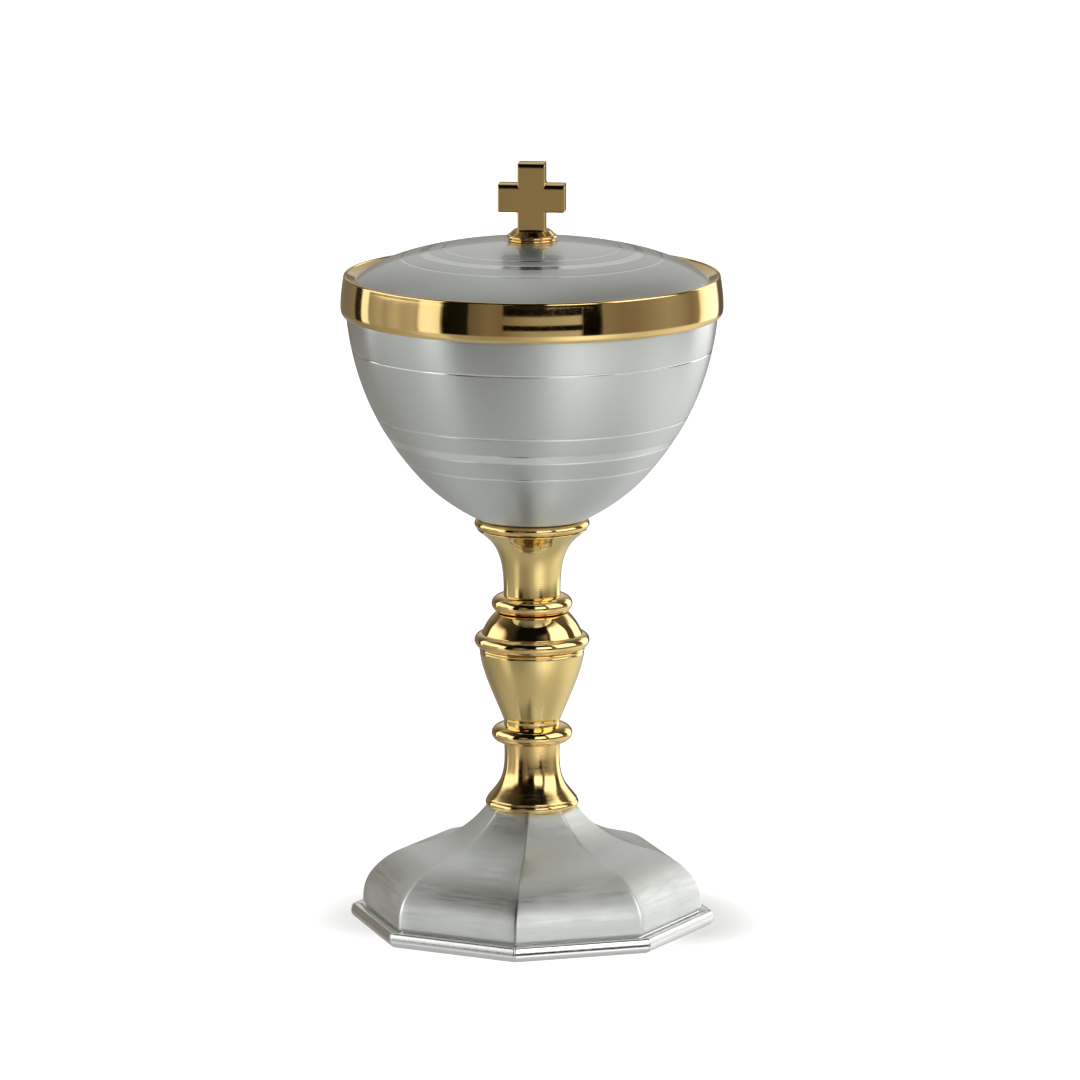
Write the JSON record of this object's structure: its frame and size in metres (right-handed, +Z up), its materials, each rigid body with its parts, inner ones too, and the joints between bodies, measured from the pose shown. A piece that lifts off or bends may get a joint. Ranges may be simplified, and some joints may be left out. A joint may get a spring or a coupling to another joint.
{
  "type": "lidded ciborium",
  "caption": "Footed metal cup with a domed lift-off lid topped by a plain cross, for holding wafers; turned gilt stem with a knop, on an eight-sided foot.",
  "frame": {"origin": "centre of the underside of the foot, on the table", "axes": "+Z up along the stem; the cross on the lid faces -Y, and a corner of the eight-sided foot points along -Y"},
  "size_m": [0.1104, 0.1104, 0.224],
  "materials": {
    "satin_silver_cup": "silver plate, satin, with fine lines round the wall and four polished lines; gilt inside",
    "satin_silver_lid": "silver plate, satin, with three polished rings",
    "satin_silver_foot": "silver plate, satin, with brighter folds",
    "polished_silver": "silver plate, polished",
    "polished_gilt": "gilt, mirror polish",
    "brushed_gilt": "gilt, polished with faint turning lines",
    "plain_brass": "turned, not plated",
    "fastener_steel": "plain machined"
  },
  "bodies": {
    "vessel": {"foot_moulding": "polished_silver", "foot_shell": "satin_silver_foot", "foot_washer": "plain_brass", "lock_washer": "fastener_steel", "foot_nut": "fastener_steel", "tie_rod": "fastener_steel", "stem_flare": "polished_gilt", "stem_lower_ring": "polished_gilt", "knop_vase": "brushed_gilt", "knop_ring": "polished_gilt", "knop_cap": "polished_gilt", "stem_upper_ring": "polished_gilt", "stem_trumpet": "brushed_gilt", "stem_collar": "polished_gilt", "cup_socket": "plain_brass", "cup_bowl": "satin_silver_cup"},
    "lid": {"lid_band": "polished_gilt", "lid_dome": "satin_silver_lid", "lid_bezel": "brushed_gilt", "finial_collar": "polished_gilt", "finial_cross": "polished_gilt", "finial_stud": "fastener_steel", "finial_washer": "plain_brass", "finial_nut": "fastener_steel"}
  },
  "joints": [
    {"name": "lid_lift", "type": "slide", "parent": "vessel", "child": "lid", "axis": [0, 0, 1], "range_m": [0, 0.042]}
  ]
}
